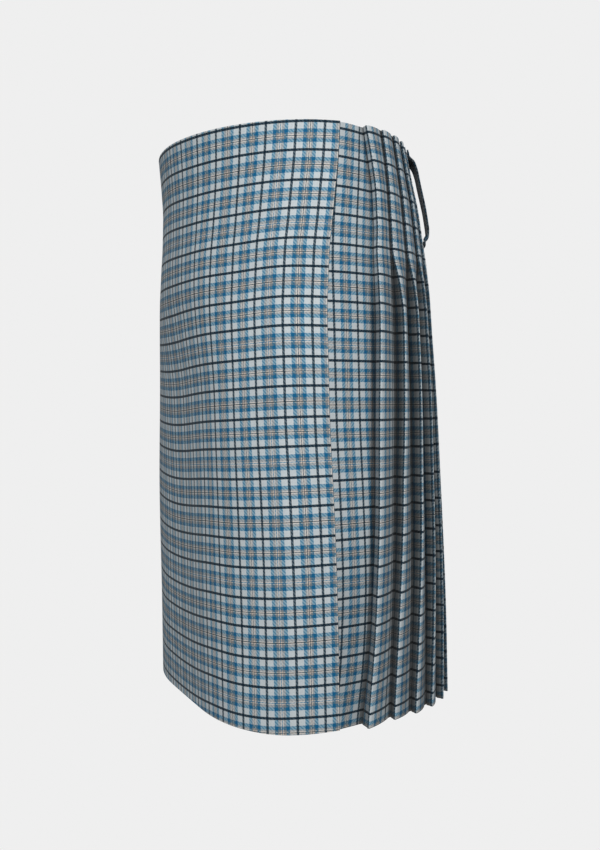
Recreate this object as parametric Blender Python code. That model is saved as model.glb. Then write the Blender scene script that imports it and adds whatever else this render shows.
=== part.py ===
"""Wrapped and pleated kilt, filled out as worn, modelled as its cut and folded cloth.

Units are metres, +Z is up. The origin is at the centre of the narrowest ring, the natural waist.
The wearer faces -Y, and the wearer's left side is +X.
"""

import math

import bmesh
import bpy
import numpy as np

MM = 0.001

# Driving dimensions in millimetres
CLOTH = 1.2
APRON_CLOTH = 1.3
SEAM_GAP = 0.3
FOLD_GAP = 0.6
PLEATS = 18
UNDERFOLD = 13.0
APRON_TURN_UNDER = 16.0
APRON_BEHIND_SIDE = 15.0
APRON_LAYER_GAP = 0.9
HIDDEN_EDGE_FROM_SIDE = 14.0
LOOP_WIDTH = 38.0
LOOP_COLUMNS_ACROSS = 6
LOOP_CLOTH = 1.8
LOOP_GAP = 6.1
LOOP_SEAT = 0.65
LOOP_TOP = 61.0
LOOP_BOTTOM = -35.0
LOOP_FROM_CENTRE_BACK = 97.0
RING_SAMPLES = 1440

# Shape of a belt loop: share of its length from the top, and share of the gap it stands off by.
LOOP_COLUMNS = ("share", "lift")
LOOP_ROWS = ((0.0, 0.0), (0.06, 0.0), (0.13, 0.75), (0.25, 1.0), (0.44, 1.0), (0.62, 1.0),
             (0.81, 1.0), (0.90, 0.80), (0.95, 0.0), (1.0, 0.0))
LOOP_STOPS = [dict(zip(LOOP_COLUMNS, row)) for row in LOOP_ROWS]

# One row for each level from the top edge down to the hem, in millimetres.
# height: above the waist.  side, front, back: half axes of the outer ring.
# front_power, back_power: how square the oval is, 2 being an ellipse.
# free_edge: how far the over apron stops in front of the left side line.
# first_fold: how far the first pleat's fold lies behind the left side line.
# first_reveal: width of the first pleat.  depth: how far each pleat's fold stands above the valley.
# first_depth, first_out: the same for the first fold, and how far it stands out past the ring.
LEVEL_COLUMNS = ("height", "side", "front", "back", "front_power", "back_power", "free_edge",
                 "first_fold", "first_reveal", "depth", "first_depth", "first_out")
LEVEL_ROWS = (
    (64, 165.0, 127.0, 130, 1.95, 2.00, 8, 22, 24, 3.7, 9.0, 0),
    (30, 167.5, 123.0, 139, 1.97, 2.00, 11, 28, 22, 3.7, 10.0, 0),
    (0, 170.0, 120.5, 147, 2.00, 2.02, 15, 31, 20, 3.7, 10.0, 0),
    (-30, 172.5, 120.5, 152, 2.03, 2.04, 19, 31, 20, 3.7, 10.0, 0),
    (-57, 175.0, 121.5, 156, 2.06, 2.06, 23, 29, 22, 4.4, 10.0, 0),
    (-85, 176.5, 122.0, 159, 2.12, 2.10, 25, 29, 30, 11.0, 11.0, 1),
    (-120, 178.0, 119.5, 161, 2.35, 2.12, 27, 29, 35, 14.5, 12.0, 2),
    (-200, 179.0, 113.5, 168, 2.90, 2.16, 26, 28, 35, 14.5, 12.0, 2),
    (-300, 179.0, 112.5, 174, 3.05, 2.20, 21, 27, 33, 14.0, 12.5, 3),
    (-410, 175.5, 111.0, 181, 3.00, 2.26, 15, 24, 33, 12.0, 13.0, 5),
    (-516, 169.0, 109.0, 186, 3.20, 2.32, 10, 17, 37, 9.5, 16.0, 8),
)
LEVELS = [dict(zip(LEVEL_COLUMNS, row)) for row in LEVEL_ROWS]


class Ring:
    """Outer outline of the kilt at one level, walked by its length.

    Lengths run from the left side line round the back, past the right side line and round the
    front to the left side line again.
    """

    def __init__(self, level):
        self.level = level
        angles = np.linspace(0.0, 2.0 * math.pi, RING_SAMPLES + 1)
        cosines, sines = np.cos(angles), np.sin(angles)
        behind = sines >= 0.0
        power = 2.0 / np.where(behind, level["back_power"], level["front_power"])
        reach = np.where(behind, level["back"], level["front"])
        self.x = level["side"] * np.sign(cosines) * np.abs(cosines) ** power
        self.y = reach * np.sign(sines) * np.abs(sines) ** power
        steps = np.hypot(np.diff(self.x), np.diff(self.y))
        self.length = np.concatenate(([0.0], np.cumsum(steps)))
        self.back_length = self.length[RING_SAMPLES // 2]
        self.total = self.length[-1]
        span = 2.0
        ahead_x, ahead_y = self.walk(self.length + span)
        behind_x, behind_y = self.walk(self.length - span)
        along = np.hypot(ahead_x - behind_x, ahead_y - behind_y)
        self.normal_x = (ahead_y - behind_y) / along
        self.normal_y = -(ahead_x - behind_x) / along

    def walk(self, lengths):
        wrapped = np.mod(lengths, self.total)
        return np.interp(wrapped, self.length, self.x), np.interp(wrapped, self.length, self.y)

    def point(self, along, out):
        """Plan point at a length along the ring and a distance out from it."""
        x, y = self.walk(along)
        wrapped = along % self.total
        normal_x = np.interp(wrapped, self.length, self.normal_x)
        normal_y = np.interp(wrapped, self.length, self.normal_y)
        return (float(x + out * normal_x), float(y + out * normal_y))


RINGS = [Ring(level) for level in LEVELS]


def fold_positions(ring):
    """Lengths along the ring of the pleats' folds, and of the over apron's fold after the last."""
    first = ring.level["first_fold"]
    second = first + ring.level["first_reveal"]
    last = ring.back_length - APRON_BEHIND_SIDE
    reveal = (last - second) / (PLEATS - 1)
    return [first] + [second + reveal * number for number in range(PLEATS)]


def underfold_path(fold, depth, out, reveal):
    """The cloth tucked under one fold, from the valley to the inner fold and back to the fold.

    The riser drops from the fold towards the body, and the rest lies flat behind the next face.
    """
    layer = CLOTH + FOLD_GAP
    tuck = UNDERFOLD
    face = out - CLOTH / 2.0
    face_at_tuck = out - depth * tuck / reveal
    inner = min(out - depth + layer, face_at_tuck - layer)
    foot = min(out - depth + layer, face - layer)
    return {
        "valley": (fold - 0.4, min(out - depth, foot - layer)),
        "tuck_low": (fold + tuck, inner - layer),
        "tuck_tip": (fold + tuck + layer / 2, inner - layer / 2),
        "tuck_high": (fold + tuck, inner),
        "foot": (fold + 1.9, foot),
        "fold_low": (fold + 1.1, face - layer),
        "fold_tip": (fold + 0.1, face - layer / 2),
        "fold_high": (fold + 1.1, face),
    }


def pleats_path(ring):
    """Middle line of the pleated length: every fold, face, valley and underfold in turn."""
    folds = fold_positions(ring)
    level = ring.level
    path = []
    for number in range(PLEATS):
        first = number == 0
        fold = folds[number]
        reveal = folds[number + 1] - fold
        depth = level["first_depth"] if first else level["depth"]
        out = level["first_out"] if first else 0.0
        under = underfold_path(fold, depth, out, reveal)
        if not first:
            path += [under["valley"], under["tuck_low"], under["tuck_tip"]]
        path += [under[name] for name in ("tuck_high", "foot", "fold_low", "fold_tip", "fold_high")]
        last = number == PLEATS - 1
        next_low = -level["depth"]
        if last:
            next_low = -(2.0 * APRON_CLOTH + FOLD_GAP + SEAM_GAP + CLOTH / 2.0)
        start_out = out - CLOTH / 2
        for share, crown in ((0.30, 0.7), (0.65, 0.7)):
            path.append((fold + reveal * share, start_out + (next_low - start_out) * share + crown))
    apron_fold = folds[-1]
    path += [(apron_fold - 0.4, next_low), (apron_fold + UNDERFOLD, next_low)]
    return path


def under_apron_path(ring):
    """Middle line of the under apron, from its hidden edge to the seam behind the first fold."""
    level = ring.level
    lapped = -(APRON_CLOTH + APRON_LAYER_GAP + CLOTH / 2.0)
    first_fold = ring.total + level["first_fold"]
    under = underfold_path(first_fold, level["first_depth"], level["first_out"],
                           level["first_reveal"])
    start = ring.back_length + HIDDEN_EDGE_FROM_SIDE
    free_edge = ring.total - level["free_edge"]
    lap_end = free_edge - 6.0
    count = 26
    path = [(start + (lap_end - start) * step / count, lapped) for step in range(count + 1)]
    valley = (under["valley"][0] - 1.5, level["first_out"] - level["first_depth"])
    visible = valley[0] - free_edge
    path.append((free_edge + 3.0, lapped - 0.5))
    for share in (0.35, 0.7):
        path.append((free_edge + visible * share, lapped + (valley[1] - lapped) * share + 0.3))
    path.append(valley)
    seam_low = under["tuck_high"][1] - CLOTH - SEAM_GAP
    path.append((first_fold + UNDERFOLD, seam_low))
    return path


def over_apron_path(ring):
    """Middle line of the over apron, from its turned-under edge round the front to its free edge."""
    level = ring.level
    fold = fold_positions(ring)[-1]
    top = -APRON_CLOTH / 2.0
    layer = APRON_CLOTH + FOLD_GAP
    path = [(fold + APRON_TURN_UNDER, top - layer), (fold + 1.2, top - layer),
            (fold + 0.3, top - layer / 2.0), (fold + 1.2, top)]
    start = fold + 8.0
    end = ring.total - level["free_edge"]
    count = 34
    path += [(start + (end - start) * step / count, top) for step in range(count + 1)]
    return path


def wall_sides(plan_points, thickness):
    """Both faces of a wall of even thickness round a middle line, mitred at its corners."""
    points = np.array(plan_points)
    ahead = np.diff(points, axis=0)
    ahead /= np.linalg.norm(ahead, axis=1)[:, None]
    before = np.vstack((ahead[:1], ahead))
    after = np.vstack((ahead, ahead[-1:]))
    middle = before + after
    middle /= np.linalg.norm(middle, axis=1)[:, None]
    normal = np.stack((middle[:, 1], -middle[:, 0]), axis=1)
    half_turn = np.clip((middle * after).sum(axis=1), 0.62, 1.0)
    reach = (thickness / 2.0 / half_turn)[:, None]
    return points + normal * reach, points - normal * reach


def cloth_object(name, path_of_ring, thickness, colour):
    """Closed wall of cloth through all the rings, along the middle line that each ring gives."""
    rows = []
    for ring in RINGS:
        plan = [ring.point(along, out) for along, out in path_of_ring(ring)]
        rows.append(wall_sides(plan, thickness))
    return sheet_object(name, [(ring.level["height"], *sides) for ring, sides in zip(RINGS, rows)],
                        colour)


def sheet_object(name, rows, colour):
    """Closed solid between two faces given row by row as (height, outer points, inner points)."""
    mesh = bmesh.new()
    outer, inner = [], []
    for height, outer_points, inner_points in rows:
        outer.append([mesh.verts.new((x * MM, y * MM, height * MM)) for x, y in outer_points])
        inner.append([mesh.verts.new((x * MM, y * MM, height * MM)) for x, y in inner_points])
    columns = len(outer[0])
    for row in range(len(rows) - 1):
        for column in range(columns - 1):
            ahead, below = column + 1, row + 1
            mesh.faces.new((outer[row][column], outer[below][column],
                            outer[below][ahead], outer[row][ahead]))
            mesh.faces.new((inner[row][column], inner[row][ahead],
                            inner[below][ahead], inner[below][column]))
        for column in (0, columns - 1):
            mesh.faces.new((outer[row][column], inner[row][column],
                            inner[row + 1][column], outer[row + 1][column]))
    for row in (0, len(rows) - 1):
        for column in range(columns - 1):
            mesh.faces.new((outer[row][column], outer[row][column + 1],
                            inner[row][column + 1], inner[row][column]))
    bmesh.ops.recalc_face_normals(mesh, faces=mesh.faces)
    if mesh.calc_volume(signed=True) < 0.0:
        bmesh.ops.reverse_faces(mesh, faces=mesh.faces)
    data = bpy.data.meshes.new(name)
    mesh.to_mesh(data)
    mesh.free()
    item = bpy.data.objects.new(name, data)
    bpy.context.scene.collection.objects.link(item)
    data.materials.append(cloth_material(name + "_cloth", colour))
    return item


def cloth_material(name, colour):
    """Wool cloth in the piece's main colour."""
    material = bpy.data.materials.new(name)
    material.use_nodes = True
    shader = material.node_tree.nodes["Principled BSDF"]
    shader.inputs["Base Color"].default_value = (*colour, 1.0)
    shader.inputs["Roughness"].default_value = 0.9
    shader.inputs["Metallic"].default_value = 0.0
    return material


def ring_between(height):
    """Ring at any height between the levels of the table."""
    heights = [level["height"] for level in reversed(LEVELS)]
    level = {}
    for column in LEVEL_COLUMNS:
        values = [row[column] for row in reversed(LEVELS)]
        level[column] = float(np.interp(height, heights, values))
    return Ring(level)


def belt_loop(name, side, colour):
    """Band of doubled cloth sewn down at its top and foot, standing clear of the pleats between."""
    across = np.linspace(-LOOP_WIDTH / 2.0, LOOP_WIDTH / 2.0, LOOP_COLUMNS_ACROSS)
    rows = []
    for stop in LOOP_STOPS:
        height = LOOP_TOP + (LOOP_BOTTOM - LOOP_TOP) * stop["share"]
        ring = ring_between(height)
        centre = ring.back_length / 2.0 - side * LOOP_FROM_CENTRE_BACK
        near = LOOP_SEAT + LOOP_GAP * stop["lift"]
        outer = [ring.point(centre + step, near + LOOP_CLOTH) for step in across]
        inner = [ring.point(centre + step, near) for step in across]
        rows.append((height, outer, inner))
    return sheet_object(name, rows, colour)


def main():
    for item in list(bpy.data.objects):
        bpy.data.objects.remove(item, do_unlink=True)
    cloth_object("over_apron", over_apron_path, APRON_CLOTH, (0.35, 0.50, 0.60))
    cloth_object("under_apron", under_apron_path, CLOTH, (0.30, 0.44, 0.55))
    cloth_object("pleated_back", pleats_path, CLOTH, (0.26, 0.40, 0.50))
    belt_loop("belt_loop_left", 1.0, (0.10, 0.16, 0.22))
    belt_loop("belt_loop_right", -1.0, (0.10, 0.16, 0.22))


main()
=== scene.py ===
"""Looks of a wrapped and pleated kilt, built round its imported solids.

Units are metres unless a name says mm, +Z is up, the wearer faces -Y and the wearer's left is +X.
"""

import math

import bmesh
import bpy
import numpy as np
from bpy.props import FloatProperty, FloatVectorProperty, PointerProperty
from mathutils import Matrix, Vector


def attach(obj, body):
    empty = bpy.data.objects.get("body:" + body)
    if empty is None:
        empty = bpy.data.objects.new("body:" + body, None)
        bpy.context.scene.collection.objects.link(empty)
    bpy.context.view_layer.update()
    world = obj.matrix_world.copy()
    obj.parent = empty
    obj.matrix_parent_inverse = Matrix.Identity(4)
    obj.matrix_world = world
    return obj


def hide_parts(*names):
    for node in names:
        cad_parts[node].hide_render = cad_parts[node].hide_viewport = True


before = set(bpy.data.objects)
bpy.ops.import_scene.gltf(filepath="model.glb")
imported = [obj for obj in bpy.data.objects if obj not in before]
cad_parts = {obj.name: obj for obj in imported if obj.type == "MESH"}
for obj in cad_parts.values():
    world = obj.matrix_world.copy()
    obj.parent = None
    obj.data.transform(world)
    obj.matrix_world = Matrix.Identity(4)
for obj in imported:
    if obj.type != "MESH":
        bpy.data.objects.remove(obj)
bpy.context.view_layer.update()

bl_info = {
    "name": "Pleated kilt",
    "version": (1, 0, 0),
    "blender": (4, 5, 0),
    "location": "View3D > Sidebar > Kilt",
    "description": "Cloth, plaid, stitches and studio for a wrapped kilt with a pleated back",
    "category": "Object",
}

MM = 0.001
TOP = 64.0
HEM = -516.0

# Form of the garment in mm, the same as its solids: one row for each level from the top edge down.
LEVEL_COLUMNS = ("height", "side", "front", "back", "front_power", "back_power", "free_edge",
                 "first_fold", "first_reveal", "depth", "first_depth", "first_out")
LEVEL_ROWS = (
    (64, 165.0, 127.0, 130, 1.95, 2.00, 8, 22, 24, 3.7, 9.0, 0),
    (30, 167.5, 123.0, 139, 1.97, 2.00, 11, 28, 22, 3.7, 10.0, 0),
    (0, 170.0, 120.5, 147, 2.00, 2.02, 15, 31, 20, 3.7, 10.0, 0),
    (-30, 172.5, 120.5, 152, 2.03, 2.04, 19, 31, 20, 3.7, 10.0, 0),
    (-57, 175.0, 121.5, 156, 2.06, 2.06, 23, 29, 22, 4.4, 10.0, 0),
    (-85, 176.5, 122.0, 159, 2.12, 2.10, 25, 29, 30, 11.0, 11.0, 1),
    (-120, 178.0, 119.5, 161, 2.35, 2.12, 27, 29, 35, 14.5, 12.0, 2),
    (-200, 179.0, 113.5, 168, 2.90, 2.16, 26, 28, 35, 14.5, 12.0, 2),
    (-300, 179.0, 112.5, 174, 3.05, 2.20, 21, 27, 33, 14.0, 12.5, 3),
    (-410, 175.5, 111.0, 181, 3.00, 2.26, 15, 24, 33, 12.0, 13.0, 5),
    (-516, 169.0, 109.0, 186, 3.20, 2.32, 10, 17, 37, 9.5, 16.0, 8),
)
FELL_END = -57.0
FLAT_SIZE_HEIGHT = -200.0

# Pleats, in mm. A pleat's three layers lie LAYER apart, and its face takes FACE_CLOTH of the cloth.
# FOLD_ROUND holds the degrees round a fold at which the cloth has a point.
PLEATS = 18
UNDERFOLD = 13.0
LAYER = 1.8
HALF_CLOTH = 0.6
FACE_CLOTH = 28.6
FOLD_RADIUS = 0.9
FOLD_TURN = FOLD_RADIUS * math.pi / 2.0
FOLD_ROUND = (-80, -40, 0, 40, 80)
FOLD_PAST_LINE = 0.9
SWAY_GROWS_OVER = 380.0
SWAY_LENGTH = 150.0

# Aprons, in mm.
APRON_HALF = 0.65
APRON_TURN_UNDER = 16.0
APRON_TURN_GAP = 0.6
APRON_BEHIND_SIDE = 15.0
APRON_SEAT = -(4.0 * APRON_HALF + 0.9 + HALF_CLOTH)
APRON_LAP = -2.8
LAP_UNDER_EDGE = 6.0
HIDDEN_EDGE_FROM_SIDE = 14.0

# Belt loops, in mm. A row gives a share of the way down, and how much of the gap it stands off there.
LOOP_TOP = 61.0
LOOP_BOTTOM = -35.0
LOOP_FROM_CENTRE_BACK = 97.0
LOOP_SEAT = 0.65
LOOP_GAP = 6.1
LOOP_CLOTH = 1.8
# LOOP_INNER_SHADE: share of painted shade on a belt loop's inner side.
LOOP_INNER_SHADE = 0.9
LOOP_ROWS = ((0.0, 0.0), (0.06, 0.0), (0.13, 0.75), (0.25, 1.0), (0.44, 1.0), (0.62, 1.0),
             (0.81, 1.0), (0.90, 0.80), (0.95, 0.0), (1.0, 0.0))

# Where the dark line of the under apron's strip lies: height, and mm behind the left side line.
STRIP_ROWS = ((64, 20.0), (42, 18.0), (-78, 8.0), (-200, 10.0), (-300, 15.0), (-390, 19.0),
              (-450, 18.0), (-516, 13.0))

# Stitches, in mm: how far apart they lie, and the rows across a loop by their share of the way down.
FELL_STITCH_STEP = 6.0
LOOP_STITCH_STEP = 2.9
LOOP_STITCH_SHARES = (0.022, 0.032, 0.968, 0.978)
FELL_THREAD_RADIUS = 0.16
LOOP_THREAD_RADIUS = 0.2

# Soft creases. around: mm from the left side line, going back round the body.
# height: its middle. reach: half its length. width: half its width. rise: out of the cloth.
# lean: mm that it moves round for each mm down.
CREASE_COLUMNS = ("around", "height", "reach", "width", "rise", "lean")
CREASE_ROWS = (
    (-62, -190, 120, 20, 0.9, 0.02),
    (-96, -340, 190, 18, -1.5, -0.02),
    (-148, -340, 190, 24, 1.5, 0.0),
    (-164, -110, 100, 24, 1.5, 0.05),
    (-118, -90, 90, 20, -0.9, 0.0),
    (-176, -400, 130, 22, 1.2, 0.04),
    (-236, -250, 160, 20, -1.0, 0.03),
    (-300, -420, 120, 24, 1.1, -0.04),
    (-352, -180, 130, 26, -1.0, -0.03),
    (-420, -330, 150, 22, 1.0, 0.02),
    (90, -300, 170, 30, 1.2, 0.03),
    (205, -380, 150, 34, -1.2, -0.02),
    (300, -250, 160, 30, 1.2, 0.02),
    (415, -400, 130, 32, -1.1, 0.03),
    (40, 20, 60, 18, 0.5, 0.0),
    (-210, 20, 60, 24, 0.6, 0.0),
)

# Soft pulls of the over apron, which let the plaid's cross lines sag or rise. from_edge:
# mm from the free edge. down: mm from the top edge. across and along: half its size each way.
# sag: mm that the lines lie below level at its middle.
PULL_COLUMNS = ("from_edge", "down", "across", "along", "sag")
PULL_ROWS = (
    (0, 440, 100, 320, -8.0),
    (0, 620, 30, 90, 3.5),
    (45, 150, 35, 90, -1.7),
    (90, 20, 140, 100, 1.1),
    (245, 370, 75, 280, 6.0),
    (240, 80, 50, 70, -3.2),
    (145, 540, 35, 160, -1.8),
)

# How far the cross lines sag on the under apron and the pleats: mm down, and mm below level.
BACK_SAG_ROWS = ((0, 4.5), (110, 2.0), (180, -1.2), (250, -2.2), (580, -3.1))

# Studio, in metres and degrees, with the camera's film in mm.
CAMERA_PLACE = (0.982, -0.4328, -0.199)
CAMERA_HEADING = (-0.9056, 0.4242)
CAMERA_PITCH = 1.54
SENSOR_WIDTH = 36.0
KEY_PLACE = (2.34, -1.00, 0.95)
BACK_PLACE = (-2.3, 1.25, 0.9)
LIGHT_AIM = (0.0, 0.0, -0.22)
ROOM_RADIUS = 14.0
FLOOR_HEIGHT = -1.02

# Plaid, in threads from the middle thread of one fine dark line to the middle thread of the blue
# line two dark bands on. The order turns back at both ends.
SETT_COLUMNS = ("start", "thread", "dark")
SETT_ROWS = (
    (0, "grey", 0.8), (1, "cream", 0.0), (2, "grey", 0.0), (5, "blue", 0.0), (9, "light", 0.0),
    (16, "light", 1.0), (19, "light", 0.0), (26, "blue", 0.0), (30, "grey", 0.0), (32, "cream", 0.0),
    (33, "grey", 0.5), (34, "cream", 0.0), (35, "grey", 0.0), (37, "blue", 0.0), (41, "light", 0.0),
    (48, "light", 1.0), (51, "light", 0.0), (58, "blue", 0.0), (62, "grey", 0.0), (65, "cream", 0.0),
    (66, "blue", 0.0),
)
SETT_THREADS = 66.0
THREADS_IN_CELL = 33.0
CELLS_IN_SETT = 4.0
SETT_FROM_TOP = 44.0
EYE_GAMMA = 2.2


def table(columns, rows):
    """Rows of a table as dictionaries."""
    return [dict(zip(columns, row)) for row in rows]


CREASES = table(CREASE_COLUMNS, CREASE_ROWS)
PULLS = table(PULL_COLUMNS, PULL_ROWS)


def smooth_column(heights, values, at):
    """Smooth curve through table values, with no overshoot between rows."""
    x = np.array(heights[::-1], float)
    y = np.array(values[::-1], float)
    slopes = np.diff(y) / np.diff(x)
    tangents = np.zeros(len(x))
    tangents[0], tangents[-1] = slopes[0], slopes[-1]
    for row in range(1, len(x) - 1):
        before, after = slopes[row - 1], slopes[row]
        if before * after > 0.0:
            tangents[row] = 2.0 * before * after / (before + after)
    cell = int(np.clip(np.searchsorted(x, at) - 1, 0, len(x) - 2))
    width = x[cell + 1] - x[cell]
    t = (at - x[cell]) / width
    start = (1.0 + 2.0 * t) * (1.0 - t) ** 2 * y[cell] + t * (1.0 - t) ** 2 * width * tangents[cell]
    end = t * t * (3.0 - 2.0 * t) * y[cell + 1] + t * t * (t - 1.0) * width * tangents[cell + 1]
    return float(start + end)


def level_at(height):
    """Every column of the form's table at any height."""
    heights = [row[0] for row in LEVEL_ROWS]
    level = {}
    for column, name in enumerate(LEVEL_COLUMNS):
        level[name] = smooth_column(heights, [row[column] for row in LEVEL_ROWS], height)
    level["height"] = height
    return level


class Ring:
    """Outer outline of the kilt at one height, walked by its length in mm.

    Lengths run from the left side line round the back, past the right side line and round the
    front to the left side line again.
    """

    SAMPLES = 1440

    def __init__(self, height):
        level = level_at(height)
        self.level = level
        self.height = height
        angles = np.linspace(0.0, 2.0 * math.pi, self.SAMPLES + 1)
        cosines, sines = np.cos(angles), np.sin(angles)
        behind = sines >= 0.0
        power = 2.0 / np.where(behind, level["back_power"], level["front_power"])
        reach = np.where(behind, level["back"], level["front"])
        self.x = level["side"] * np.sign(cosines) * np.abs(cosines) ** power
        self.y = reach * np.sign(sines) * np.abs(sines) ** power
        self.length = np.concatenate(([0.0], np.cumsum(np.hypot(np.diff(self.x), np.diff(self.y)))))
        self.back_length = self.length[self.SAMPLES // 2]
        self.total = self.length[-1]
        ahead_x, ahead_y = self.walk(self.length + 2.0)
        behind_x, behind_y = self.walk(self.length - 2.0)
        along = np.hypot(ahead_x - behind_x, ahead_y - behind_y)
        self.normal_x = (ahead_y - behind_y) / along
        self.normal_y = -(ahead_x - behind_x) / along

    def walk(self, lengths):
        """Plan points in mm on the outline itself."""
        wrapped = np.mod(lengths, self.total)
        return np.interp(wrapped, self.length, self.x), np.interp(wrapped, self.length, self.y)

    def place(self, along, out):
        """Plan points in mm for lengths along the ring and distances out from it."""
        along, out = np.asarray(along, float), np.asarray(out, float)
        x, y = self.walk(along)
        wrapped = np.mod(along, self.total)
        normal_x = np.interp(wrapped, self.length, self.normal_x)
        normal_y = np.interp(wrapped, self.length, self.normal_y)
        return np.stack((x + out * normal_x, y + out * normal_y), axis=1)


def crease_out(ring, along, strength):
    """How far the creases push the cloth out at places along a ring."""
    along = np.asarray(along, float)
    half = ring.total / 2.0
    out = np.zeros(len(along))
    for crease in CREASES:
        drop = ring.height - crease["height"]
        centre = crease["around"] - crease["lean"] * drop
        apart = np.mod(along - centre + half, ring.total) - half
        fade = math.exp(-((drop / crease["reach"]) ** 2))
        out += crease["rise"] * fade * np.exp(-((apart / crease["width"]) ** 2))
    return out * strength


def fold_positions(ring):
    """Lengths along the ring of the pleats' folds, and of the over apron's fold after the last."""
    first = ring.level["first_fold"]
    second = first + ring.level["first_reveal"]
    last = ring.back_length - APRON_BEHIND_SIDE
    reveal = (last - second) / (PLEATS - 1)
    return [first] + [second + reveal * number for number in range(PLEATS)]


class Line:
    """Middle line of the cloth at one height: place along the ring, out from it, and on the cloth."""

    def __init__(self):
        self.along, self.out, self.cloth, self.tuck, self.inside = [], [], [], [], []

    def add(self, along, out, cloth, tuck=0.0, inside=0.0):
        """tuck and inside: shares of painted shade on the cloth's outer and inner side, for how far they
        lie hidden in a fold.
        """
        self.along.append(along)
        self.out.append(out)
        self.cloth.append(cloth)
        self.tuck.append(tuck)
        self.inside.append(inside)


def eased(low, high, share):
    """Goes from low to high with a soft start and end."""
    share = min(max(share, 0.0), 1.0)
    return low + (high - low) * share * share * (3.0 - 2.0 * share)


def pleat_shifts(drop, sizes):
    """How far each fold wanders sideways, in mm. The first fold and the over apron's stay put."""
    sway = sizes.pleat_sway / MM * eased(0.0, 1.0, drop / SWAY_GROWS_OVER)
    wander = np.random.default_rng(11).normal(size=(PLEATS, 4))
    shifts = [sway * size * math.sin(drop / SWAY_LENGTH + turn) for size, turn in wander[1:, :2]]
    return [0.0, *shifts, 0.0]


def face_shade(number, drop):
    """Painted shade on a pleat's face: more where the pleats turn from the light, and below the fell."""
    if number == 0:
        return eased(0.20, 0.28, drop / 60.0)
    turned = max(0.0, 1.0 - abs(number - 4.0) / 4.0)
    return 0.12 + (0.20 + 0.34 * turned) * min(1.0, drop / 60.0)


def add_underlap(line, fold, valley, inner, cloth):
    """The lowest layer of a pleat, from the valley to the turn at its hidden end, in full painted shade."""
    for step in range(3):
        share = step / 2.0
        line.add(fold - 0.4 + (UNDERFOLD + 0.4) * share, valley + (inner - LAYER - valley) * share,
                 cloth + UNDERFOLD * share, 1.0)
    line.add(fold + UNDERFOLD + LAYER / 2.0, inner - LAYER / 2.0, cloth + UNDERFOLD + 1.0, 1.0)


def add_riser(line, fold, inner, foot, riser, cloth, gloom):
    """The middle layer of a pleat, back from the hidden turn and up to the fold, in painted shade that
    eases off just below the fold.
    """
    line.add(fold + UNDERFOLD, inner, cloth, 1.0, 0.6)
    line.add(fold + 7.0, foot + (inner - foot) * 0.47, cloth + 6.0, 1.0, 1.0)
    line.add(fold + 2.6, foot - 0.05, cloth + UNDERFOLD - 2.4, 1.0, 1.0)
    line.add(fold + 1.75, foot + min(0.7, riser * 0.3), cloth + UNDERFOLD, gloom)
    for share, lit in ((0.3, 0.0), (0.55, 0.0), (0.8, 0.10)):
        line.add(fold + 1.55 - 0.5 * share, foot + riser * share, cloth + UNDERFOLD + riser * share,
                 gloom * (1.0 - lit))


def add_fold(line, fold, face, cloth, gloom):
    """The rounded edge of a pleat, with painted shade on its riser side."""
    for degrees in FOLD_ROUND:
        angle = math.radians(degrees)
        line.add(fold + 1.0 - FOLD_RADIUS * math.cos(angle),
                 face - LAYER / 2.0 + FOLD_RADIUS * math.sin(angle), cloth + FOLD_RADIUS * angle,
                 gloom * min(0.6, max(0.0, 0.15 - degrees / 140.0)))


def add_face(line, fold, reveal, face, next_low, cloth, span, behind):
    """The part of a pleat that shows, softly crowned, down into the next pleat's valley. behind is its
    share of painted shade, which grows across the face and darkens sharply into the valley.
    """
    for share in (0.08, 0.2, 0.34, 0.5, 0.66, 0.8, 0.9, 0.96):
        crown = 1.1 * math.sin(math.pi * share) * (1.0 - 0.3 * share)
        hollow = 0.5 * max(0.0, share - 0.85) / 0.15
        shade = behind * min(1.0, share * 2.2) + max(0.0, share - 0.9) * 6.0
        line.add(fold + 1.0 + (reveal - 1.4) * share, face + (next_low - face) * share + crown - hollow,
                 cloth + 1.2 + span * share, min(1.0, shade))


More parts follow.
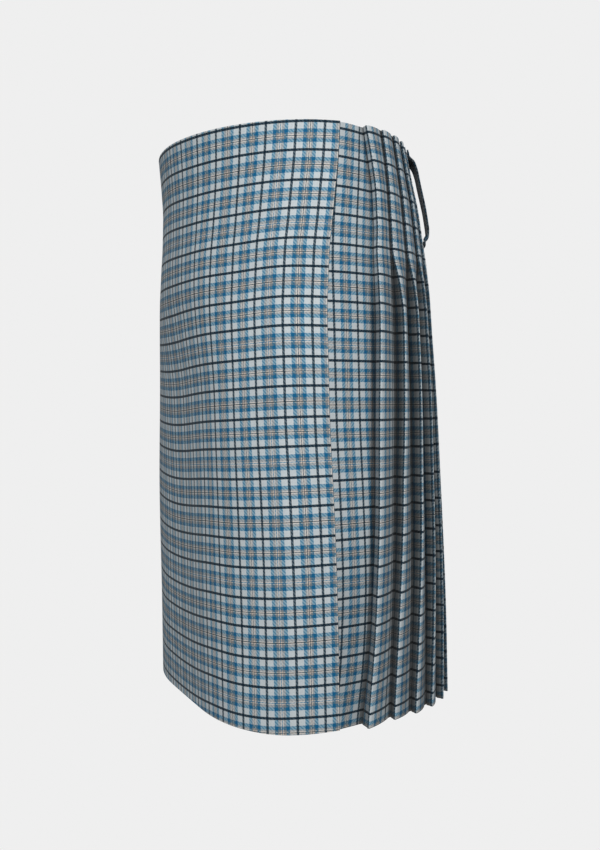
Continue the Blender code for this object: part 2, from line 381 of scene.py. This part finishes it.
def pleats_line(ring, sizes):
    """The pleated length at one height: every fold, face, valley and underfold in turn."""
    line = Line()
    level = ring.level
    folds = fold_positions(ring)
    drop = max(0.0, FELL_END - ring.height)
    shifts = pleat_shifts(drop, sizes)
    cell = sizes.plaid_cell / MM
    for number in range(PLEATS):
        first = number == 0
        fold = folds[number] + shifts[number]
        reveal = folds[number + 1] + shifts[number + 1] - fold
        depth = level["first_depth"] if first else level["depth"]
        out = level["first_out"] if first else 0.0
        face = out - HALF_CLOTH
        inner = min(out - depth + LAYER, out - depth * UNDERFOLD / reveal - LAYER)
        foot = min(out - depth + LAYER, face - LAYER)
        valley = min(out - depth, foot - LAYER)
        riser = max(0.5, face - LAYER - foot)
        at_fold = number * cell * CELLS_IN_SETT + cell * 0.5 + FOLD_PAST_LINE
        # Painted shade on the risers and fold edges: full on every pleat but the first, whose riser grows
        # darker below the fell.
        gloom = eased(0.22, 0.64, drop / 70.0) if first else 1.0
        if not first:
            add_underlap(line, fold, valley, inner, at_fold - cell * CELLS_IN_SETT + FACE_CLOTH)
        add_riser(line, fold, inner, foot, riser, at_fold - FOLD_TURN - riser - UNDERFOLD, gloom)
        add_fold(line, fold, face, at_fold, gloom)
        next_low = APRON_SEAT
        if number < PLEATS - 1:
            next_foot = min(LAYER - level["depth"], -HALF_CLOTH - LAYER)
            next_low = min(-level["depth"], next_foot - LAYER)
        span = max(reveal, FACE_CLOTH) - 1.2 if first else FACE_CLOTH - 1.2
        add_face(line, fold, reveal, face, next_low, at_fold, span, face_shade(number, drop))
    after_faces = at_fold + FACE_CLOTH
    # The cloth hidden under the over apron's fold, in painted shade.
    line.add(folds[-1] - 0.4, APRON_SEAT, after_faces, 0.8)
    line.add(folds[-1] + UNDERFOLD * 0.5, APRON_SEAT, after_faces + UNDERFOLD * 0.5, 1.0)
    line.add(folds[-1] + UNDERFOLD, APRON_SEAT, after_faces + UNDERFOLD, 1.0)
    return line


def strip_line_at(height):
    """Where the strip's dark line lies at a height."""
    heights = [row[0] for row in STRIP_ROWS]
    return smooth_column(heights, [row[1] for row in STRIP_ROWS], height)


def under_apron_line(ring, sizes):
    """The under apron at one height, from its hidden edge to the seam behind the first fold."""
    line = Line()
    level = ring.level
    free_edge = ring.total - level["free_edge"]
    out = level["first_out"]
    foot = min(out - level["first_depth"] + LAYER, out - HALF_CLOTH - LAYER)
    low = min(out - level["first_depth"], foot - LAYER)
    cloth_less_along = sizes.plaid_cell / MM * 1.5 - ring.total - strip_line_at(ring.height)
    start = ring.back_length + HIDDEN_EDGE_FROM_SIDE
    lap_end = free_edge - LAP_UNDER_EDGE
    steps = 56
    for step in range(steps + 1):
        along = start + (lap_end - start) * step / steps
        line.add(along, APRON_LAP, along + cloth_less_along)
    valley = ring.total + level["first_fold"] - 1.9
    # Painted shade on the strip: darker lower down, a painted shadow just beside the over apron's free
    # edge, darkest into the valley at the first fold, and full from there back to the seam.
    seam_shade = eased(0.3, 0.9, (FELL_END - ring.height) / 70.0)
    low_shade = eased(0.08, 0.30, (-ring.height - 300.0) / 120.0)
    for share in (0.05, 0.14, 0.24, 0.36, 0.5, 0.64, 0.78, 0.9, 0.96, 1.0):
        along = lap_end + (valley - lap_end) * share
        sink = max(0.0, share - 0.14) / 0.86
        shade = low_shade + 0.5 * max(0.0, 0.2 - share)
        line.add(along, APRON_LAP + (low - APRON_LAP) * sink, along + cloth_less_along,
                 max(shade, seam_shade * (share - 0.93) / 0.07))
    seam = min(low, low + LAYER - HALF_CLOTH * 2.0 - 1.2)
    for share in (0.4, 1.0):
        along = valley + (UNDERFOLD + 1.9) * share
        line.add(along, low + (seam - low) * share - 0.1, along + cloth_less_along, 1.0)
    return line


def over_apron_line(ring, sizes):
    """The over apron at one height, from its turned-under edge round the front to its free edge."""
    line = Line()
    fold = fold_positions(ring)[-1]
    top = -APRON_HALF
    layer = APRON_HALF * 2.0 + APRON_TURN_GAP
    half = layer / 2.0
    end = ring.total - ring.level["free_edge"]
    # The turned-under part behind the fold, in full painted shade.
    line.add(fold + APRON_TURN_UNDER, top - layer, end - fold + APRON_TURN_UNDER + 2.0, 1.0)
    line.add(fold + 8.0, top - layer, end - fold + 10.0, 1.0)
    for degrees in FOLD_ROUND:
        angle = math.radians(degrees)
        line.add(fold + 1.0 - half * math.cos(angle), top - half + half * math.sin(angle),
                 end - fold - half * angle)
    start = fold + 2.0
    steps = 92
    for step in range(steps + 1):
        along = start + (end - start) * step / steps
        edge = max(0.0, 1.0 - (end - along) / 5.0)
        line.add(along, top + 0.25 * edge * edge, end - along)
    return line


def linked_piece(name, mesh):
    """An object in the scene from an edit mesh."""
    data = bpy.data.meshes.new(name)
    mesh.to_mesh(data)
    mesh.free()
    piece = bpy.data.objects.new(name, data)
    bpy.context.scene.collection.objects.link(piece)
    return piece


def cloth_piece(name, points, places, tucks, insides, thickness):
    """Cloth through rows of points, all in metres, with its places on the cloth as its UV map.

    tucks and insides are the shares of painted fold shade on its outer and inner side.
    """
    mesh = bmesh.new()
    flat = mesh.loops.layers.uv.new("cloth")
    tuck = mesh.verts.layers.float.new("tuck")
    inside = mesh.verts.layers.float.new("inside")
    grid = [[mesh.verts.new(point) for point in row] for row in points]
    for row, verts in enumerate(grid):
        for column, vert in enumerate(verts):
            vert[tuck] = tucks[row][column]
            vert[inside] = insides[row][column]
    for row in range(len(grid) - 1):
        for column in range(len(grid[0]) - 1):
            corners = ((row, column), (row + 1, column), (row + 1, column + 1), (row, column + 1))
            face = mesh.faces.new([grid[r][c] for r, c in corners])
            face.smooth = True
            for loop, (r, c) in zip(face.loops, corners):
                loop[flat].uv = places[r][c]
    piece = linked_piece(name, mesh)
    thicken(piece, thickness)
    shade_inner_side(piece.data)
    return piece


def sheet_from_lines(name, line_at, sizes, drop_at):
    """Cloth through the middle lines at every height."""
    points, places, tucks, insides = [], [], [], []
    for height in row_heights():
        ring = Ring(height)
        line = line_at(ring, sizes)
        out = np.array(line.out) + crease_out(ring, line.along, sizes.crease_strength)
        plan = ring.place(line.along, out)
        points.append([(x * MM, y * MM, height * MM) for x, y in plan])
        drops = [drop_at(ring, along) for along in line.along]
        places.append([(cloth * MM, drop * MM) for cloth, drop in zip(line.cloth, drops)])
        tucks.append(line.tuck)
        insides.append(line.inside)
    return cloth_piece(name, points, places, tucks, insides, sizes.cloth_thickness)


def shade_inner_side(data):
    """Gives the second half of the vertices, the cloth's inner side, its own share of painted fold shade.
    """
    values = {}
    for name in ("tuck", "inside"):
        values[name] = np.zeros(len(data.vertices), np.float32)
        data.attributes[name].data.foreach_get("value", values[name])
    half = len(data.vertices) // 2
    values["tuck"][half:] = values["inside"][half:]
    data.attributes["tuck"].data.foreach_set("value", values["tuck"])
    data.attributes.remove(data.attributes["inside"])


def thicken(piece, thickness):
    """Gives a sheet its thickness on both sides of its middle."""
    select_only(piece)
    wall = piece.modifiers.new("Cloth", "SOLIDIFY")
    wall.thickness = thickness
    wall.offset = 0.0
    wall.use_even_offset = True
    wall.thickness_clamp = 0.0
    bpy.ops.object.modifier_apply(modifier=wall.name)
    bpy.ops.object.shade_smooth_by_angle(angle=math.radians(52.0))


def select_only(piece):
    """Makes a piece the only selected and the active one."""
    for other in bpy.context.selected_objects:
        other.select_set(False)
    piece.select_set(True)
    bpy.context.view_layer.objects.active = piece


def row_heights():
    """Heights of the sheets' rows, closer together where the pleats leave the fell."""
    heights = list(np.linspace(TOP, -40.0, 16)) + list(np.linspace(-46.0, -130.0, 17))
    return heights + list(np.linspace(-137.0, HEM, 46))


def apron_drop(ring, along):
    """Distance down the over apron's cloth, less how far its cross lines sag."""
    down = TOP - ring.height
    from_edge = ring.total - ring.level["free_edge"] - along
    sag = 0.0
    for pull in PULLS:
        apart = (from_edge - pull["from_edge"]) / pull["across"]
        below = (down - pull["down"]) / pull["along"]
        sag += pull["sag"] * math.exp(-apart * apart - below * below)
    return down - sag


def back_drop(ring, along):
    """Distance down the cloth of the under apron and pleats, less how far its cross lines sag."""
    down = TOP - ring.height
    return down - float(np.interp(down, *zip(*BACK_SAG_ROWS)))


class Socket:
    """Wraps a node socket, so that shader maths can be written as expressions."""

    def __init__(self, tree, socket):
        self.tree = tree
        self.socket = socket

    def maths(self, operation, *others):
        """Adds a Math node that works on this socket and others."""
        return self.tree.node("ShaderNodeMath", {"operation": operation}, (self, *others)).value()

    def __add__(self, other):
        return self.maths("ADD", other)

    def __radd__(self, other):
        return self.maths("ADD", other)

    def __sub__(self, other):
        return self.maths("SUBTRACT", other)

    def __rsub__(self, other):
        return self.tree.node("ShaderNodeMath", {"operation": "SUBTRACT"}, (other, self)).value()

    def __mul__(self, other):
        return self.maths("MULTIPLY", other)

    def __rmul__(self, other):
        return self.maths("MULTIPLY", other)

    def __truediv__(self, other):
        return self.maths("DIVIDE", other)

    def __lt__(self, other):
        return self.maths("LESS_THAN", other)


class Made:
    """A node that has been made, whose outputs are asked for by name or place."""

    def __init__(self, tree, node):
        self.tree = tree
        self.node = node

    def value(self, output=0):
        """One output as a socket for maths."""
        return Socket(self.tree, self.node.outputs[output])


class Cloth:
    """Node tree of one material."""

    def __init__(self, name):
        self.material = bpy.data.materials.new(name)
        self.material.use_nodes = True
        self.nodes = self.material.node_tree.nodes
        self.links = self.material.node_tree.links
        self.shader = self.nodes["Principled BSDF"]

    def node(self, kind, settings, inputs):
        """Makes a node of a kind, sets it up, and fills its sockets with values or links."""
        node = self.nodes.new(kind)
        for name, setting in settings.items():
            if name == "stops":
                self.set_stops(node.color_ramp, setting)
            else:
                setattr(node, name, setting)
        pairs = inputs.items() if isinstance(inputs, dict) else enumerate(inputs)
        for key, given in pairs:
            self.fill(node.inputs[key], given)
        return Made(self, node)

    def set_stops(self, ramp, stops):
        """Fills a colour ramp with bands of plain colour."""
        ramp.interpolation = "CONSTANT"
        while len(ramp.elements) > 1:
            ramp.elements.remove(ramp.elements[-1])
        for number, (position, colour) in enumerate(stops):
            stop = ramp.elements[0] if number == 0 else ramp.elements.new(position)
            stop.position = position
            stop.color = colour

    def fill(self, socket, given):
        """Links an input to a socket, or sets its value."""
        if isinstance(given, Socket):
            self.links.new(given.socket, socket)
        elif given is not None:
            socket.default_value = given

    def set(self, name, given):
        """Fills an input of the main shader."""
        self.fill(self.shader.inputs[name], given)


def mixed(tree, share, low, high, blend="MIX"):
    """Colour mix of two colours by a share."""
    settings = {"data_type": "RGBA", "blend_type": blend}
    return tree.node("ShaderNodeMix", settings, {0: share, 6: low, 7: high}).value(2)


def eye_numbers(colour):
    """A colour in even steps for the eye, in which the threads are mixed."""
    return tuple(part ** (1.0 / EYE_GAMMA) for part in colour)


def plaid_cloth(name, sizes, colours):
    """Wool twill in the plaid: each thread takes its colour from the sett in its own direction, darkened by
    painted fold shade.
    """
    tree = Cloth(name)
    place = tree.node("ShaderNodeUVMap", {"uv_map": "cloth"}, ())
    apart = tree.node("ShaderNodeSeparateXYZ", {}, (place.value(),))
    thread = sizes.plaid_cell / THREADS_IN_CELL
    warp_at = apart.value(0) / thread + 0.5
    weft_at = (apart.value(1) - SETT_FROM_TOP * MM) / thread + 0.5
    warp_number = warp_at.maths("FLOOR")
    weft_number = weft_at.maths("FLOOR")
    shades = {"cream": eye_numbers(colours.cream_thread), "grey": eye_numbers(colours.grey_thread),
              "blue": eye_numbers(colours.blue_thread), "light": eye_numbers(colours.light_thread)}
    stops = [(max(0.0, row["start"] - 0.5) / SETT_THREADS, (*shades[row["thread"]], row["dark"]))
             for row in table(SETT_COLUMNS, SETT_ROWS)]

    def stripe(number):
        folded = (number / SETT_THREADS).maths("PINGPONG", 1.0)
        return tree.node("ShaderNodeValToRGB", {"stops": stops}, (folded,))

    warp, weft = stripe(warp_number), stripe(weft_number)
    over = (warp_number + weft_number).maths("FLOORED_MODULO", 4.0) < 1.5
    colour = mixed(tree, 0.5 + (over - 0.5) * sizes.weave_contrast, weft.value(), warp.value())
    black = (*eye_numbers(colours.black_thread), 1.0)
    colour = mixed(tree, warp.value(1) * (0.55 + over * 0.26), colour, black)
    colour = mixed(tree, weft.value(1) * (0.92 - over * 0.20), colour, black)
    colour = tree.node("ShaderNodeGamma", {}, (colour, EYE_GAMMA)).value()
    yarn = tree.node("ShaderNodeCombineXYZ", {}, (warp_number * over, weft_number * (1.0 - over), over))
    noise = tree.node("ShaderNodeTexWhiteNoise", {"noise_dimensions": "3D"}, {"Vector": yarn.value()})
    cloud = tree.node("ShaderNodeTexNoise", {}, {"Vector": place.value(), "Scale": 28.0, "Detail": 3.0,
                                                "Roughness": 0.55})
    # Painted shade: the tuck attribute darkens the base colour in folds, under the aprons and on faces
    # turned from the light; uneven is the yarn's own random tone.
    tuck = tree.node("ShaderNodeAttribute", {"attribute_name": "tuck"}, ()).value(2)
    uneven = 0.93 + noise.value(0) * 0.10 + (cloud.value(0) - 0.5) * 0.12
    strength = uneven * (1.0 - tuck * sizes.fold_shade)
    grey = tree.node("ShaderNodeCombineXYZ", {}, (strength, strength, strength))
    colour = mixed(tree, 1.0, colour, grey.value(), "MULTIPLY")
    tree.set("Base Color", colour)
    warp_round = 1.0 - ((warp_at.maths("FRACT") - 0.5) * 2.0).maths("POWER", 2.0)
    weft_round = 1.0 - ((weft_at.maths("FRACT") - 0.5) * 2.0).maths("POWER", 2.0)
    relief = warp_round * over + weft_round * (1.0 - over)
    bump = tree.node("ShaderNodeBump", {}, {"Strength": 0.35, "Distance": 0.00012, "Height": relief})
    tree.set("Normal", bump.value())
    tree.set("Roughness", 0.92 - relief * 0.08)
    tree.set("Specular IOR Level", 0.25)
    tree.set("Sheen Weight", 0.08)
    tree.set("Sheen Roughness", 0.5)
    return tree.material


def plain_thread(name, colour):
    """Matt sewing thread."""
    tree = Cloth(name)
    place = tree.node("ShaderNodeTexCoord", {}, ()).value("Object")
    noise = tree.node("ShaderNodeTexNoise", {}, {"Vector": place, "Scale": 900.0, "Detail": 2.0})
    hollow = [part * 0.7 for part in colour]
    tree.set("Base Color", mixed(tree, noise.value(0), (*hollow, 1.0), (*colour, 1.0)))
    tree.set("Roughness", 0.8)
    return tree.material


def finish_piece(piece, node, material):
    """Puts a piece in the place of its solid, with its cloth."""
    piece.data.materials.clear()
    piece.data.materials.append(material)
    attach(piece, "root")
    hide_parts(node)


def line_length(line_at, sizes, height):
    """Length of a middle line at one height, in metres."""
    ring = Ring(height)
    line = line_at(ring, sizes)
    plan = ring.place(line.along, line.out)
    return float(np.hypot(*np.diff(plan, axis=0).T).sum()) * MM


def thread_colour(name, colour):
    """A colour that a user may change."""
    return FloatVectorProperty(name=name, description="Colour of the " + name.lower(), subtype="COLOR",
                               size=3, min=0.0, max=1.0, default=colour)


class KiltSizes(bpy.types.PropertyGroup):
    """Sizes of the cloth, the plaid and the pleats"""

    cloth_thickness: FloatProperty(name="Cloth thickness", description="Thickness of the wool cloth",
                                   default=0.0011, min=0.0004, max=0.002, unit="LENGTH")
    plaid_cell: FloatProperty(name="Plaid cell", description="Distance between two dark lines",
                              default=0.02835, min=0.01, max=0.08, unit="LENGTH")
    crease_strength: FloatProperty(name="Creases", description="Depth of the soft creases",
                                   default=1.0, min=0.0, max=2.0, subtype="FACTOR")
    weave_contrast: FloatProperty(name="Weave contrast", description="How far crossing threads keep apart",
                                  default=0.3, min=0.0, max=1.0, subtype="FACTOR")
    # Strength of the painted shade in folds, multiplied into the base colour.
    fold_shade: FloatProperty(name="Fold shade", description="How dark the cloth is inside its folds",
                              default=0.88, min=0.0, max=1.0, subtype="FACTOR")
    pleat_sway: FloatProperty(name="Pleat sway", description="How far loose pleats wander sideways",
                              default=0.0008, min=0.0, max=0.002, unit="LENGTH")
    loop_width: FloatProperty(name="Loop width", description="Width of a belt loop",
                              default=0.038, min=0.01, max=0.05, unit="LENGTH")


class KiltColours(bpy.types.PropertyGroup):
    """Colours of the threads"""

    light_thread: thread_colour("Light thread", (0.61, 0.665, 0.695))
    grey_thread: thread_colour("Grey thread", (0.215, 0.235, 0.25))
    blue_thread: thread_colour("Blue thread", (0.005, 0.125, 0.28))
    black_thread: thread_colour("Black thread", (0.0006, 0.009, 0.021))
    cream_thread: thread_colour("Cream thread", (0.82, 0.68, 0.57))
    sewing_thread: thread_colour("Sewing thread", (0.05, 0.09, 0.14))


class KiltStudio(bpy.types.PropertyGroup):
    """Backdrop, camera and lights"""

    backdrop: FloatVectorProperty(name="Backdrop", description="Colour of the floor and backdrop",
                                  subtype="COLOR", size=3, min=0.0, max=1.0, default=(0.863, 0.863, 0.863))
    lens: FloatProperty(name="Lens", description="Focal length of the camera", default=40.9, min=20.0,
                        max=200.0, unit="CAMERA")
    key_power: FloatProperty(name="Key light", description="Power of the key light", default=54.0,
                             min=0.0, max=2000.0, unit="POWER")
    back_power: FloatProperty(name="Back light", description="Power of the light behind the kilt",
                              default=34.0, min=0.0, max=2000.0, unit="POWER")
    fill: FloatProperty(name="Fill light", description="Strength of the even light all round", default=0.22,
                        min=0.0, max=3.0)


def garment_sheet(context, node, line_at, drop_at, **how):
    """Makes one sheet of the kilt in the place of its solid."""
    sizes, colours = context.scene.kilt_sizes, context.scene.kilt_colours
    piece = sheet_from_lines(node + "_cloth", line_at, sizes, drop_at)
    finish_piece(piece, node, plaid_cloth(node + "_plaid", sizes, colours))
    width = line_length(line_at, sizes, FLAT_SIZE_HEIGHT)


class KILT_OT_over_apron(bpy.types.Operator):
    """Make the flat over apron"""

    bl_idname = "kilt.over_apron"
    bl_label = "Over apron"

    def execute(self, context):
        garment_sheet(context, "over_apron", over_apron_line, apron_drop, held="hung",
                      rests_on=["under_apron"])
        return {"FINISHED"}


class KILT_OT_under_apron(bpy.types.Operator):
    """Make the under apron, of which a strip shows"""

    bl_idname = "kilt.under_apron"
    bl_label = "Under apron"

    def execute(self, context):
        garment_sheet(context, "under_apron", under_apron_line, back_drop, held="hung",
                      rests_on=["pleated_back"])
        return {"FINISHED"}


class KILT_OT_pleated_back(bpy.types.Operator):
    """Make the knife pleats round the back"""

    bl_idname = "kilt.pleated_back"
    bl_label = "Pleated back"

    def execute(self, context):
        garment_sheet(context, "pleated_back", pleats_line, back_drop, held="folded")
        return {"FINISHED"}


def loop_lift(share):
    """Share of the gap that a belt loop stands off by, at a share of its length."""
    shares = [-row[0] for row in LOOP_ROWS]
    return smooth_column(shares, [row[1] for row in LOOP_ROWS], -share)


def loop_centre(ring, side):
    """Length along a ring at which a belt loop's middle lies."""
    return ring.back_length / 2.0 - side * LOOP_FROM_CENTRE_BACK


def belt_loop(name, side, sizes):
    """Doubled band, sewn down at its top and foot and clear of the pleats between, with painted shade on
    its inner side.
    """
    width = sizes.loop_width / MM
    across = np.linspace(-width / 2.0, width / 2.0, 13)
    cloth_at_middle = width / 2.0 + sizes.plaid_cell / MM * 0.5 + 1.4
    points, places, tucks, insides = [], [], [], []
    for share in np.linspace(0.0, 1.0, 44):
        height = LOOP_TOP + (LOOP_BOTTOM - LOOP_TOP) * share
        ring = Ring(height)
        out = LOOP_SEAT + LOOP_CLOTH / 2.0 + LOOP_GAP * loop_lift(share)
        plan = ring.place(loop_centre(ring, side) + across, np.full(len(across), out))
        points.append([(x * MM, y * MM, height * MM) for x, y in plan])
        drop = share * (LOOP_TOP - LOOP_BOTTOM) + 6.0
        places.append([((place + cloth_at_middle) * MM, drop * MM) for place in across])
        tucks.append([0.0] * len(across))
        insides.append([LOOP_INNER_SHADE] * len(across))
    return cloth_piece(name, points, places, tucks, insides, LOOP_CLOTH * MM)


class KILT_OT_belt_loops(bpy.types.Operator):
    """Make the two belt loops behind the hips"""

    bl_idname = "kilt.belt_loops"
    bl_label = "Belt loops"

    def execute(self, context):
        sizes, colours = context.scene.kilt_sizes, context.scene.kilt_colours
        for word, side in (("left", 1.0), ("right", -1.0)):
            piece = belt_loop("belt_loop_cloth_" + word, side, sizes)
            plaid = plaid_cloth("belt_loop_plaid_" + word, sizes, colours)
            finish_piece(piece, "belt_loop_" + word, plaid)
        return {"FINISHED"}


def thread_stitch(mesh, start, end, lift, radius):
    """Adds one stitch: a short thread that rises from the cloth and goes back into it."""
    start, end, lift = Vector(start), Vector(end), Vector(lift)
    along = (end - start).normalized()
    across = along.cross(lift.normalized())
    rings = []
    for share, rise in ((0.0, -0.5), (0.2, 0.6), (0.5, 1.0), (0.8, 0.6), (1.0, -0.5)):
        middle = start.lerp(end, share) + lift * rise
        ring = []
        for corner in range(6):
            angle = corner * math.pi / 3.0
            side = across * math.cos(angle) + lift.normalized() * math.sin(angle)
            ring.append(mesh.verts.new((middle + side * radius) * MM))
        rings.append(ring)
    for low, high in zip(rings, rings[1:]):
        for corner in range(6):
            after = (corner + 1) % 6
            mesh.faces.new((low[corner], low[after], high[after], high[corner]))
    mesh.faces.new(rings[0][::-1])
    mesh.faces.new(rings[-1])


def sewing_piece(name, stitches, material, radius):
    """One piece of all the stitches of a seam, each with its start, end and lift."""
    mesh = bmesh.new()
    for start, end, lift in stitches:
        thread_stitch(mesh, start, end, lift, radius)
    bmesh.ops.recalc_face_normals(mesh, faces=mesh.faces)
    for face in mesh.faces:
        face.smooth = True
    piece = linked_piece(name, mesh)
    piece.data.materials.append(material)
    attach(piece, "root")


def stitch_between(height, along, out, height_after, along_after, lift):
    """Start, end and lift of a stitch, from its places on the rings at two heights."""
    ring, after = Ring(height), Ring(height_after)
    first = ring.place([along], [out])[0]
    last = after.place([along_after], [out])[0]
    above = ring.place([along], [out + lift])[0]
    return ((*first, height), (*last, height_after), (above[0] - first[0], above[1] - first[1], 0.0))


def fell_stitches(sizes):
    """Slanted stitches that hold each pleat's fold down, from the top edge to the end of the fell."""
    stitches = []
    surface = sizes.cloth_thickness / MM / 2.0 - HALF_CLOTH
    for number in range(PLEATS):
        for height in np.arange(TOP - 5.0, FELL_END - 1.0, -FELL_STITCH_STEP):
            ring = Ring(height)
            fold = fold_positions(ring)[number]
            out = surface + float(crease_out(ring, [fold], sizes.crease_strength)[0])
            stitches.append(stitch_between(height, fold + 0.5, out, height - 1.3, fold + 1.5, 0.12))
    return stitches


def loop_stitches(sizes):
    """Two rows of short stitches across each end of both belt loops."""
    stitches = []
    half = sizes.loop_width / MM / 2.0
    for side in (1.0, -1.0):
        for share in LOOP_STITCH_SHARES:
            height = LOOP_TOP + (LOOP_BOTTOM - LOOP_TOP) * share
            centre = loop_centre(Ring(height), side)
            out = LOOP_SEAT + LOOP_CLOTH + LOOP_GAP * loop_lift(share)
            for place in np.arange(2.0 - half, half - 3.0, LOOP_STITCH_STEP):
                start = centre + place
                stitches.append(stitch_between(height, start, out, height, start + 2.1, 0.14))
    return stitches


class KILT_OT_sewing(bpy.types.Operator):
    """Make the stitches of the fell and of the belt loops"""

    bl_idname = "kilt.sewing"
    bl_label = "Sewing"

    def execute(self, context):
        sizes, colours = context.scene.kilt_sizes, context.scene.kilt_colours
        thread = plain_thread("sewing_thread", colours.sewing_thread)
        sewing_piece("fell_stitches", fell_stitches(sizes), thread, FELL_THREAD_RADIUS)
        sewing_piece("belt_loop_stitches", loop_stitches(sizes), thread, LOOP_THREAD_RADIUS)
        return {"FINISHED"}


def studio_paper(colour):
    """Paper that shows one even colour whatever light falls on it."""
    paper = bpy.data.materials.new("studio_paper")
    paper.use_nodes = True
    nodes, links = paper.node_tree.nodes, paper.node_tree.links
    nodes.clear()
    glow = nodes.new("ShaderNodeEmission")
    glow.inputs["Color"].default_value = (*colour, 1.0)
    output = nodes.new("ShaderNodeOutputMaterial")
    links.new(glow.outputs[0], output.inputs["Surface"])
    return paper


def stage_paper(piece, name, paper):
    """Makes a piece part of the stage, which neither lights the kilt nor shades it."""
    piece.name = name
    piece.data.materials.append(paper)
    piece.visible_diffuse = False
    piece.visible_glossy = False
    piece.visible_shadow = False


def add_even_light(colour, strength):
    """Even light from all round."""
    world = bpy.data.worlds.new("studio_world")
    world.use_nodes = True
    background = world.node_tree.nodes["Background"]
    background.inputs["Color"].default_value = (*colour, 1.0)
    background.inputs["Strength"].default_value = strength
    bpy.context.scene.world = world


def add_area_light(name, place, size, power, colour):
    """Soft square light that points at the middle of the kilt."""
    data = bpy.data.lights.new(name, "AREA")
    data.energy = power
    data.size = size
    data.color = colour
    light = bpy.data.objects.new(name, data)
    bpy.context.scene.collection.objects.link(light)
    light.location = place
    aim = Vector(LIGHT_AIM) - Vector(place)
    light.rotation_euler = aim.to_track_quat("-Z", "Y").to_euler()


def add_camera(lens):
    """Camera at the photo's place, from the wearer's front left and pitched down a little."""
    data = bpy.data.cameras.new("camera")
    data.lens = lens
    data.sensor_width = SENSOR_WIDTH
    camera = bpy.data.objects.new("camera", data)
    bpy.context.scene.collection.objects.link(camera)
    camera.location = CAMERA_PLACE
    pitch = math.radians(CAMERA_PITCH)
    x, y = CAMERA_HEADING
    direction = Vector((x * math.cos(pitch), y * math.cos(pitch), -math.sin(pitch)))
    camera.rotation_euler = direction.to_track_quat("-Z", "Y").to_euler()
    bpy.context.scene.camera = camera


class KILT_OT_studio(bpy.types.Operator):
    """Make the floor, backdrop, lights and camera"""

    bl_idname = "kilt.studio"
    bl_label = "Studio"

    def execute(self, context):
        studio = context.scene.kilt_studio
        paper = studio_paper(studio.backdrop)
        bpy.ops.mesh.primitive_circle_add(vertices=96, radius=ROOM_RADIUS, fill_type="NGON",
                                          location=(0, 0, FLOOR_HEIGHT))
        stage_paper(context.active_object, "studio_floor", paper)
        bpy.ops.mesh.primitive_uv_sphere_add(segments=64, ring_count=32, radius=ROOM_RADIUS - 0.1,
                                             location=(0, 0, 0))
        stage_paper(context.active_object, "studio_backdrop", paper)
        add_even_light((0.93, 0.97, 1.0), studio.fill)
        add_area_light("key_light", KEY_PLACE, 1.0, studio.key_power, (1.0, 0.99, 0.975))
        add_area_light("back_light", BACK_PLACE, 1.6, studio.back_power, (0.97, 0.99, 1.0))
        add_camera(studio.lens)
        context.scene.view_settings.view_transform = "Standard"
        return {"FINISHED"}


class KILT_PT_panel(bpy.types.Panel):
    """Sizes, colours and operators of the kilt"""

    bl_idname = "KILT_PT_panel"
    bl_label = "Kilt"
    bl_space_type = "VIEW_3D"
    bl_region_type = "UI"
    bl_category = "Kilt"

    def draw(self, context):
        layout = self.layout
        for group in (context.scene.kilt_sizes, context.scene.kilt_colours, context.scene.kilt_studio):
            for name in group.__annotations__:
                layout.prop(group, name)
        for operator in OPERATORS:
            layout.operator(operator.bl_idname)


GROUPS = (KiltSizes, KiltColours, KiltStudio)
OPERATORS = (KILT_OT_over_apron, KILT_OT_under_apron, KILT_OT_pleated_back, KILT_OT_belt_loops,
             KILT_OT_sewing, KILT_OT_studio)


def register():
    for kind in (*GROUPS, *OPERATORS, KILT_PT_panel):
        bpy.utils.register_class(kind)
    bpy.types.Scene.kilt_sizes = PointerProperty(type=KiltSizes)
    bpy.types.Scene.kilt_colours = PointerProperty(type=KiltColours)
    bpy.types.Scene.kilt_studio = PointerProperty(type=KiltStudio)


def unregister():
    del bpy.types.Scene.kilt_studio
    del bpy.types.Scene.kilt_colours
    del bpy.types.Scene.kilt_sizes
    for kind in reversed((*GROUPS, *OPERATORS, KILT_PT_panel)):
        bpy.utils.unregister_class(kind)


def main():
    register()
    for item in bpy.context.selected_objects:
        item.select_set(False)
    bpy.ops.kilt.over_apron()
    bpy.ops.kilt.under_apron()
    bpy.ops.kilt.pleated_back()
    bpy.ops.kilt.belt_loops()
    bpy.ops.kilt.sewing()
    bpy.ops.kilt.studio()


if __name__ == "__main__":
    main()
